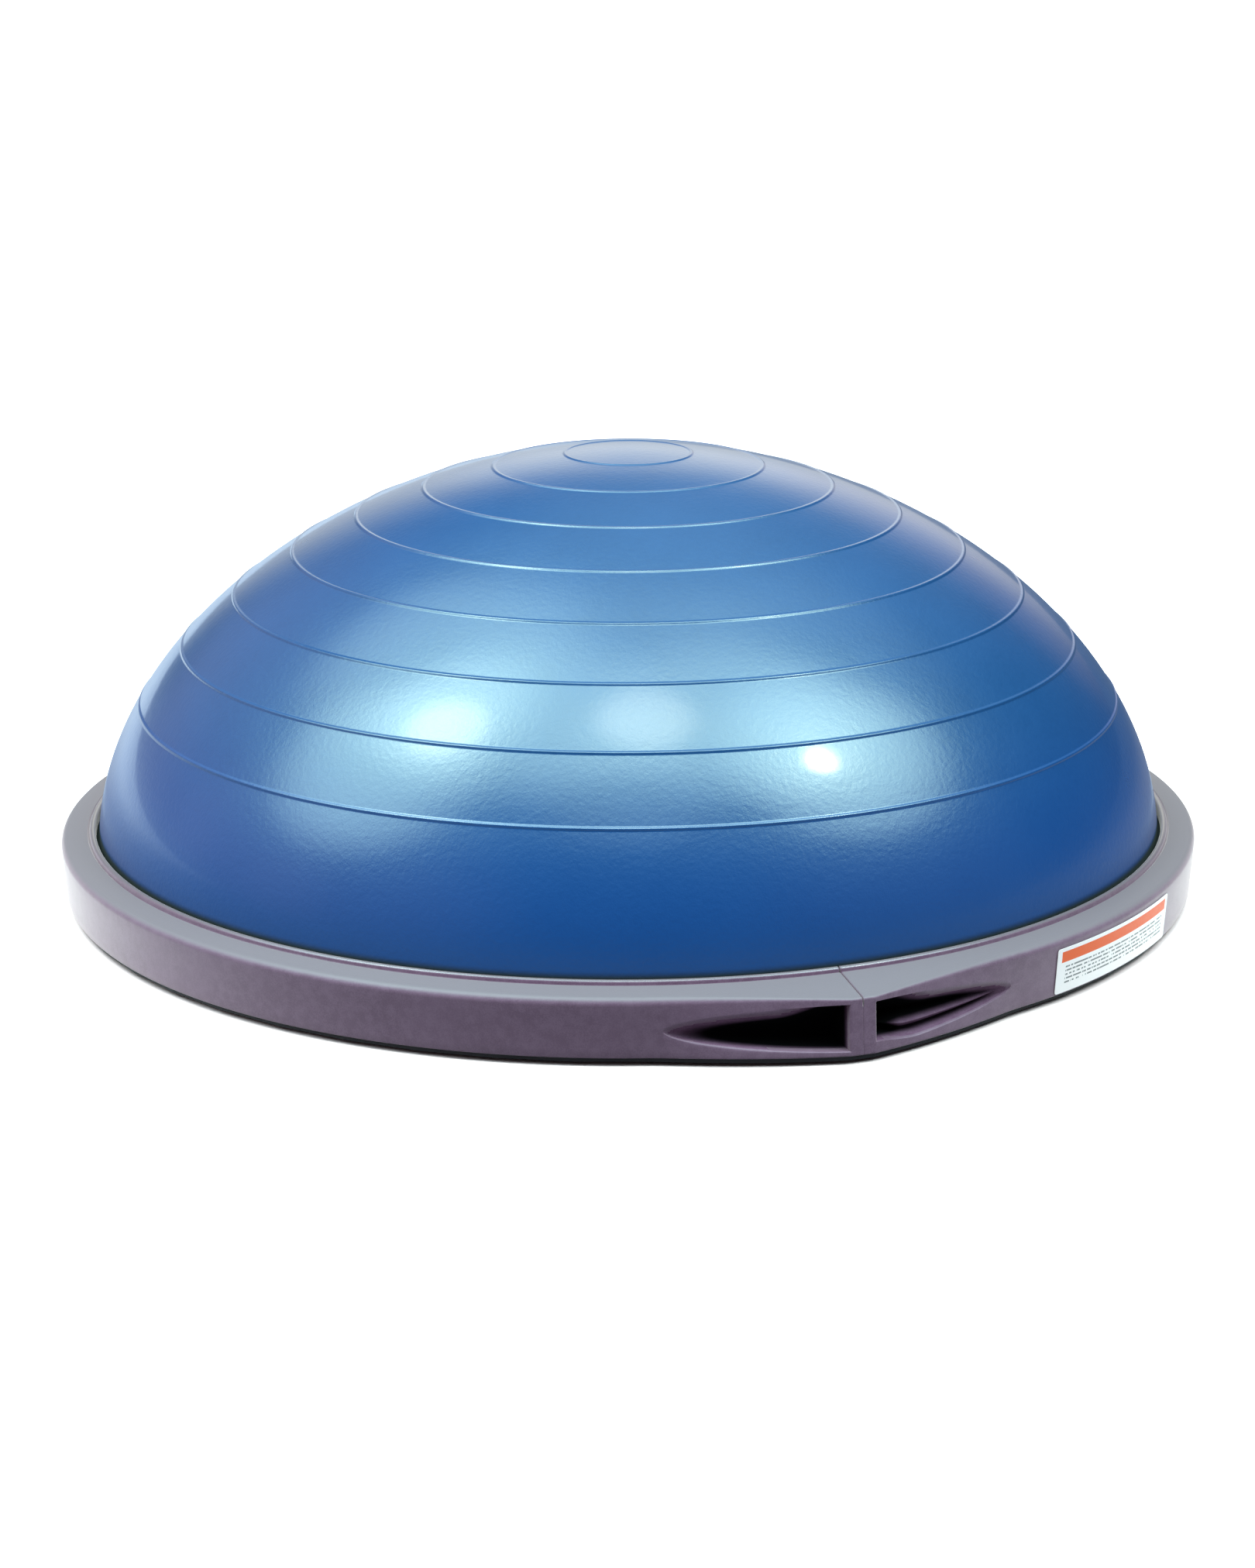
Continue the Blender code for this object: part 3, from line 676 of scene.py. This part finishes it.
def scoop_rows(share):
    """(z, depth) pairs across a plain pocket, from its lower lip to its upper edge."""
    half_height, depth, softness = scoop_shape(share)
    near, far = POCKET_LIP_RADIUS
    lip = (near + (far - near) * smoothstep(0.1, 0.6, share)) * min(1, depth / (6 * MM))
    low = POCKET_MIDDLE_Z - half_height
    rows = []
    lower_steps, upper_steps = 8, 14
    for i in range(POCKET_LIP_STEPS):
        angle = math.pi / 2 * i / POCKET_LIP_STEPS
        rows.append((low - lip * (1 - math.sin(angle)), lip * (1 - math.cos(angle))))
    for i in range(lower_steps + 1):
        away = math.cos(math.pi / 2 * i / lower_steps)
        height = POCKET_DEEPEST - away * (1 + POCKET_DEEPEST)
        inward = lip + (depth - lip) * math.sqrt(1 - away**3)
        rows.append((POCKET_MIDDLE_Z + height * half_height, inward))
    for i in range(1, upper_steps + 1):
        away = math.sin(math.pi / 2 * i / upper_steps)
        height = POCKET_DEEPEST + away * (1 - POCKET_DEEPEST)
        inward = lip * (1 - away) + (depth - lip) * upper_share(away, softness)
        rows.append((POCKET_MIDDLE_Z + height * half_height, inward))
    return rows


def ridged_rows(share):
    """(z, depth) pairs across the right-hand pocket; as many as scoop_rows gives."""
    half_height, depth, softness = scoop_shape(share)
    opening = 1 + 2.5 * (1 - smoothstep(0, 0.2, share))
    low_reach = 1 - 0.26 * (1 - smoothstep(0, 0.3, share))
    low = POCKET_MIDDLE_Z - half_height * low_reach
    rows = [(low - 0.25 * MM * (POCKET_LIP_STEPS - i), 0.0) for i in range(POCKET_LIP_STEPS)]
    for height, most in RIDGED_FLOOR:
        away = max((height - POCKET_DEEPEST) / (1 - POCKET_DEEPEST), 0.0)
        reach = half_height * (low_reach if height < 0 else 1)
        inward = min(depth * upper_share(away, softness), most * MM * opening)
        rows.append((POCKET_MIDDLE_Z + height * reach, inward))
    return rows


def grip_columns():
    """Columns from the seam to the pocket's tip.

    Each is (x, share of the pocket's length, most depth while that share is 0, sink of the seam's edge).
    """
    columns = [(SEAM_HALF_WIDTH, 0.0, 0.0, SEAM_CHAMFER)]
    columns.append((SEAM_HALF_WIDTH + SEAM_CHAMFER, 0.0, 0.0, 0.0))
    columns += [(x * MM, 0.0, 0.0, 0.0) for x in (1.5, 2.8, 4.0, 5.2)]
    edge_steps, side_steps, length_steps = 4, 8, 46
    for i in range(edge_steps + 1):
        angle = math.pi / 2 * i / edge_steps
        x = GRIP_RIB_HALF_WIDTH - GRIP_RIB_EDGE * (1 - math.sin(angle))
        columns.append((x, 0.0, GRIP_RIB_EDGE * (1 - math.cos(angle)), 0.0))
    for i in range(1, side_steps + 1):
        depth = GRIP_RIB_EDGE + (POCKET_DEPTH - GRIP_RIB_EDGE) * i / side_steps
        columns.append((GRIP_RIB_HALF_WIDTH, 0.0, depth, 0.0))
    for i in range(1, length_steps + 1):
        share = 1 - (1 - i / length_steps) ** 1.25
        columns.append((GRIP_RIB_HALF_WIDTH + POCKET_LENGTH * share, share, POCKET_DEPTH, 0.0))
    return columns


def rim_section(angle, rows, inner_depth):
    """(radius, z) points of the rim's outline at this angle, once round from its inner foot.

    angle is from the middle of the grip, rows are the pocket's (z, depth) pairs there, and inner_depth is
    how far in from the wall's outer surface its inner side is.
    """
    foot = wall_radius(angle, RIM_BOTTOM_Z)
    nearness = 1 - smoothstep(0, CORNER_HALF_ANGLE, abs(angle))
    top = (wall_radius(angle, WALL_TOP_Z), WALL_TOP_Z)
    root_radius, root_z = FLANGE_ROOT
    flange_edge = (top[0], root_z - FLANGE_SLOPE * (top[0] - root_radius))
    corner = line_crossing((foot, RIM_BOTTOM_Z), top, FLANGE_ROOT, flange_edge)
    rounding = fillet((foot, RIM_BOTTOM_Z), corner, FLANGE_ROOT, (4.0 - 2.4 * nearness) * MM, 8)
    wall_end = rounding[0]
    heel = (foot - 2.4 * MM, RIM_BOTTOM_Z)
    section = [(foot - inner_depth, RIM_CORE_BOTTOM_Z), (foot - 4 * MM, RIM_CORE_BOTTOM_Z), heel]
    section += fillet(heel, (foot, RIM_BOTTOM_Z), wall_end, 0.7 * MM, 3)
    wall_start_z = section[-1][1]
    low, high = rows[0][0], rows[-1][0]
    for share in (0.3, 0.65):
        z = wall_start_z + (low - wall_start_z) * share
        section.append((wall_radius(angle, z), z))
    section += [(wall_radius(angle, z) - depth, z) for z, depth in rows]
    for share in (0.25, 0.6):
        z = high + (wall_end[1] - high) * share
        section.append((wall_radius(angle, z), z))
    section += rounding
    radius, z = rounding[-1]
    for share in (0.35, 0.7, 0.93):
        section.append((radius + (root_radius - radius) * share, z + (root_z - z) * share))
    section += in_mm(FLANGE_GROOVE)
    for i in range(9):
        turned = math.radians(-15 + 210 * i / 8)
        across, up = LIP_ROUND_RADIUS * math.cos(turned), LIP_ROUND_RADIUS * math.sin(turned)
        section.append((LIP_CENTRE[0] + across, LIP_CENTRE[1] + up))
    section += [(LIP_INNER_RADIUS, 36 * MM), (LIP_INNER_RADIUS, LIP_UNDERSIDE_Z)]
    section += [(305.6 * MM, LIP_UNDERSIDE_Z), (307.5 * MM, 33.4 * MM)]
    section.append((top[0] - inner_depth - 1.5 * MM, 31.4 * MM))
    section.append((wall_radius(angle, 29 * MM) - inner_depth, 29 * MM))
    return section


def rim_columns(pocket_rows):
    """Loops of points from the front seam to the side of the rim, at 90 degrees from the grip."""
    loops = []
    for x, share, most, sink in grip_columns():
        rows = pocket_rows(share)
        if share == 0:
            rows = [(z, min(depth, most)) for z, depth in rows]
        inner_depth = max(WALL_THICKNESS, scoop_shape(share)[1] + 2.2 * MM)
        angle = math.asin(x / (RIM_RADIUS + CORNER_TOP_REACH * (1 - share)))
        loop = []
        for radius, z in rim_section(angle, rows, inner_depth):
            on_wall = z < WALL_TOP_Z
            radius -= sink * 0.4 if on_wall else 0
            z -= 0 if on_wall else sink
            place = min(x, WALL_SEAM_HALF_WIDTH) if sink and on_wall else x
            loop.append((place, -math.sqrt(radius**2 - place**2), z))
        loops.append(loop)
    rows = pocket_rows(1.0)
    for i in range(SIDE_SPANS + 1):
        angle = SIDE_START_ANGLE + (math.pi / 2 - SIDE_START_ANGLE) * i / SIDE_SPANS
        section = rim_section(angle, rows, WALL_THICKNESS)
        loops.append([(*polar(radius, angle), z) for radius, z in section])
    return loops


def mark_pocket_depth(mesh):
    """Stores and gives how far each point lies inside the wall's outer surface."""
    depths = []
    for vertex in mesh.vertices:
        x, y, z = vertex.co
        angle = math.atan2(abs(x), abs(y))
        in_wall = RIM_BOTTOM_Z + 2 * MM < z < WALL_TOP_Z + 2 * MM
        inside = wall_radius(angle, z) - math.hypot(x, y) if in_wall else 0.0
        depths.append(max(inside, 0.0))
    attribute = mesh.attributes.new("pocket_depth", "FLOAT", "POINT")
    attribute.data.foreach_set("value", depths)
    return depths


def make_rim(outside, inside):
    """The right half; the left one is the same mesh, turned half round."""
    shape = bmesh.new()
    front = rim_columns(ridged_rows)
    back = [[(x, -y, z) for x, y, z in loop] for loop in reversed(rim_columns(scoop_rows)[:-1])]
    skin(shape, front + back, wrap=False)
    for i in range(SCREWS_PER_HALF):
        place = polar(SCREW_CIRCLE_RADIUS, SCREW_FIRST_ANGLE + i * SCREW_PITCH_ANGLE)
        turn_profile(shape, in_mm(SCREW_BOSS), 24, place)
    right = add_piece("rim_shell_right", to_mesh(shape, "rim_shell", math.radians(35)))
    depths = mark_pocket_depth(right.data)
    right.data.materials.append(outside)
    right.data.materials.append(inside)
    # Faces deep in the pockets take the shaded copy of the plastic, with no sheen and little specular,
    # which keeps them dark.
    for face in right.data.polygons:
        face.material_index = 1 if min(depths[i] for i in face.vertices) > POCKET_PLASTIC_FROM else 0
    left = add_piece("rim_shell_left", right.data)
    left.rotation_euler.z = math.pi
    for piece, node in ((right, "rim_half_right"), (left, "rim_half_left")):
        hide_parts(node)
        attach(piece, "platform")


# ---------------------------------------------------------------- label


def label_column(shape, share):
    """Points up the label's front and back at this share of its width, less tall at rounded corners."""
    rows = 6
    low, high = label_low.z, label_high.z
    angle = LABEL_START + (LABEL_END - LABEL_START) * share
    from_end = min(share, 1 - share) * LABEL_WIDTH
    cut = 0.0
    if from_end < LABEL_CORNER:
        cut = LABEL_CORNER - math.sqrt(LABEL_CORNER**2 - (LABEL_CORNER - from_end) ** 2)
    columns = [], []
    for i in range(rows + 1):
        z = low + cut + (high - low - 2 * cut) * (i / rows)
        for column, standoff in zip(columns, LABEL_STANDOFFS):
            radius = wall_radius(angle, z) + standoff
            column.append(shape.verts.new((*polar(radius, angle), z)))
    return columns


def label_shares():
    """Shares of the label's width where its columns stand: close together at the rounded corners."""
    ends = [offset * MM / LABEL_WIDTH for offset in (0, 0.08, 0.25, 0.5, 0.8, 1.2, 1.6)]
    return ends + [0.05 + 0.9 * i / 30 for i in range(31)] + [1 - share for share in reversed(ends)]


def make_label(material):
    """A thin film with rounded corners, just clear of the wall."""
    shape = bmesh.new()
    uv = shape.loops.layers.uv.new("print")
    front, back = zip(*[label_column(shape, share) for share in label_shares()])
    spans, rows = len(front) - 1, len(front[0]) - 1
    for i in range(spans):
        for j in range(rows):
            shape.faces.new((front[i][j], front[i + 1][j], front[i + 1][j + 1], front[i][j + 1]))
            shape.faces.new((back[i][j], back[i][j + 1], back[i + 1][j + 1], back[i + 1][j]))
        for j in (0, rows):
            shape.faces.new((front[i][j], back[i][j], back[i + 1][j], front[i + 1][j]))
    for i in (0, spans):
        for j in range(rows):
            shape.faces.new((front[i][j], front[i][j + 1], back[i][j + 1], back[i][j]))
    for face in shape.faces:
        for loop in face.loops:
            x, y, z = loop.vert.co
            across = (math.atan2(x, -y) - LABEL_START) / (LABEL_END - LABEL_START)
            loop[uv].uv = (across, (z - label_low.z) / (label_high.z - label_low.z))
    label = add_piece("rim_print_label", to_mesh(shape, "rim_print_label"))
    label.data.materials.append(material)
    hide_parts("rim_label")
    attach(label, "platform")


# ---------------------------------------------------------------- underside


def make_feet(material):
    """Rubber discs with a rounded rim and two grooves in the sole."""
    profile = in_mm(SOLE + SOLE_EDGE)
    for number in range(1, FOOT_COUNT + 1):
        node = f"foot_{number}"
        low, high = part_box(node)
        centre = ((low.x + high.x) / 2, (low.y + high.y) / 2)
        foot = lathe(f"sole_{number}", profile, 48, centre)
        foot.data.materials.append(material)
        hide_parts(node)
        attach(foot, "platform")


def screw_mesh():
    """A rounded pan head with a cross recess, and a plain shank, about the origin."""
    shape = bmesh.new()
    turn_profile(shape, in_mm(SCREW_HEAD + SCREW_SHANK), 32)
    body = add_piece("screw_body", to_mesh(shape, "screw_body"))
    cutter_shape = bmesh.new()
    for width, length in ((3.4, 0.8), (0.8, 3.4)):
        scale = Matrix.Diagonal((width * MM, length * MM, 1.8 * MM, 1))
        bmesh.ops.create_cube(cutter_shape, size=1, matrix=Matrix.Translation((0, 0, 2.3 * MM)) @ scale)
    cutter = add_piece("recess_cutter", to_mesh(cutter_shape, "recess_cutter"))
    cut = body.modifiers.new("recess", "BOOLEAN")
    cut.operation = "DIFFERENCE"
    cut.solver = "EXACT"
    cut.use_self = True
    cut.object = cutter
    graph = bpy.context.evaluated_depsgraph_get()
    mesh = bpy.data.meshes.new_from_object(body.evaluated_get(graph))
    mesh.name = "screw"
    mesh.set_sharp_from_angle(angle=math.radians(35))
    for used in (body, cutter):
        bpy.data.objects.remove(used)
    return mesh


def make_screws(material):
    mesh = screw_mesh()
    mesh.materials.append(material)
    for number in range(1, 2 * SCREWS_PER_HALF + 1):
        node = f"rim_screw_{number:02d}"
        low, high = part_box(node)
        screw = add_piece(f"cross_screw_{number:02d}", mesh)
        screw.location = ((low.x + high.x) / 2, (low.y + high.y) / 2, 0)
        screw.rotation_euler.z = 1.7 * number
        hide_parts(node)
        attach(screw, "platform")


def soften_edges(node, width):
    """Joins the triangles of a CAD part that stays and rounds its edges; its flat faces stay flat."""
    joined = node.modifiers.new("joined", "WELD")
    joined.merge_threshold = 0.001 * MM
    bevel = node.modifiers.new("edges", "BEVEL")
    bevel.width = width
    bevel.segments = 2
    bevel.limit_method = "ANGLE"
    bevel.angle_limit = math.radians(40)
    bevel.harden_normals = True


# ---------------------------------------------------------------- light, floor and camera


def toward(azimuth, elevation):
    """The direction at this azimuth round from the main view's side, positive to the right there."""
    angle = math.radians(azimuth) + VIEW_AZIMUTH
    level = math.cos(math.radians(elevation))
    return (level * math.sin(angle), -level * math.cos(angle), math.sin(math.radians(elevation)))


def make_world():
    """Soft glows round a dim studio light the object; the camera itself sees a plain white backdrop."""
    world = bpy.data.worlds.new("studio")
    bpy.context.scene.world = world
    world.use_nodes = True
    shader = Shader(world.node_tree)
    direction = shader.node("TexCoord").outputs["Generated"]
    unit = shader.node("VectorMath", {0: direction}, operation="NORMALIZE").outputs[0]

    def glows(tint, rows):
        total = AMBIENT
        for azimuth, elevation, inner, outer, strength in rows:
            facing = shader.dot(unit, toward(azimuth, elevation))
            low, high = math.cos(math.radians(outer)), math.cos(math.radians(inner))
            total = shader.math("ADD", total, shader.ramp(facing, low, high, 0.0, strength))
        return shader.node("Background", {"Color": tint, "Strength": total}).outputs[0]

    light = glows(*STUDIO[0])
    for tint, rows in STUDIO[1:]:
        light = shader.node("AddShader", {0: light, 1: glows(tint, rows)}).outputs[0]
    backdrop = shader.node("Background", {"Color": (1, 1, 1), "Strength": 1.0})
    seen = shader.node("LightPath").outputs["Is Camera Ray"]
    both = shader.node("MixShader", {0: seen, 1: light, 2: backdrop.outputs[0]})
    output = shader.node("OutputWorld")
    shader.tree.links.new(both.outputs[0], output.inputs["Surface"])


def make_floor():
    """Paper that the camera sees white; the light it sends back to the object varies with the place."""
    shape = bmesh.new()
    bmesh.ops.create_circle(shape, cap_ends=True, segments=96, radius=12)
    mesh = bpy.data.meshes.new("floor")
    shape.to_mesh(mesh)
    shape.free()
    floor = add_piece("floor", mesh)
    material, shader = new_material("floor_paper")
    seen = shader.node("LightPath").outputs["Is Camera Ray"]
    place = shader.node("NewGeometry").outputs["Position"]
    ahead = shader.dot(place, toward(0, 0))
    side = shader.dot(place, toward(90, 0))
    far = shader.mix(shader.ramp(side, -0.9, 0.5), PAPER_LEFT, PAPER_RIGHT)
    bounced = shader.mix(shader.ramp(ahead, -0.7, 0.0), far, PAPER_AHEAD)
    near_rim = shader.ramp(shader.length(place), 0.425, 0.37)
    near = shader.math("MULTIPLY", near_rim, shader.ramp(ahead, 0.38, 0.06))
    bounced = shader.mix(near, bounced, PAPER_NEAR)
    paper = shader.mix(seen, bounced, PAPER_SEEN)
    finish_material(shader, Base_Color=paper, Roughness=0.9, Specular_IOR_Level=0.0)
    floor.data.materials.append(material)


def make_camera():
    """Placed as if straight in front of the object, then swung round it by VIEW_AZIMUTH."""
    data = bpy.data.cameras.new("camera")
    camera = add_piece("camera", data)
    level = math.cos(CAMERA_PITCH)
    sine, cosine = math.sin(CAMERA_YAW), math.cos(CAMERA_YAW)
    ahead = Vector((sine * level, cosine * level, -math.sin(CAMERA_PITCH)))
    right = Vector((cosine, -sine, 0))
    up = right.cross(ahead)
    rolled_right = right * math.cos(CAMERA_ROLL) + up * math.sin(CAMERA_ROLL)
    rolled_up = up * math.cos(CAMERA_ROLL) - right * math.sin(CAMERA_ROLL)
    pose = Matrix((rolled_right, rolled_up, -ahead)).transposed().to_4x4()
    pose.translation = (0, -CAMERA_DISTANCE, CAMERA_HEIGHT)
    camera.matrix_world = Matrix.Rotation(VIEW_AZIMUTH, 4, "Z") @ pose
    data.sensor_width = 36
    data.lens = CAMERA_LENS
    data.shift_x = CAMERA_SHIFT_X
    data.clip_end = 50
    bpy.context.scene.camera = camera


# ---------------------------------------------------------------- the whole


def main():
    make_dome(dome_vinyl())
    # The second material is a shaded copy for the deep pockets: no sheen and little specular.
    make_rim(rim_plastic("rim_plastic", 0.7, 0.5), rim_plastic("shaded_pocket_plastic", 0.0, 0.06))
    make_label(label_print())
    black_plastic = grained_plastic("platform_plastic", *PLATFORM_BLACKS, 0.55)
    rubber = grained_plastic("black_rubber", *RUBBER_BLACKS, 0.75)
    plug = grained_plastic("plug_plastic", *PLUG_GREYS, 0.4)
    make_feet(rubber)
    make_screws(zinc_steel())
    kept = {"base_pan": black_plastic, "seal_ring": rubber, "valve_body": rubber, "valve_plug": plug}
    for name, material in kept.items():
        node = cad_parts[name]
        node.data.materials.clear()
        node.data.materials.append(material)
    for name in ("valve_body", "valve_plug"):
        soften_edges(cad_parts[name], VALVE_ROUNDING)
    make_world()
    make_floor()
    make_camera()
    bpy.context.scene.view_settings.view_transform = "Standard"


main()
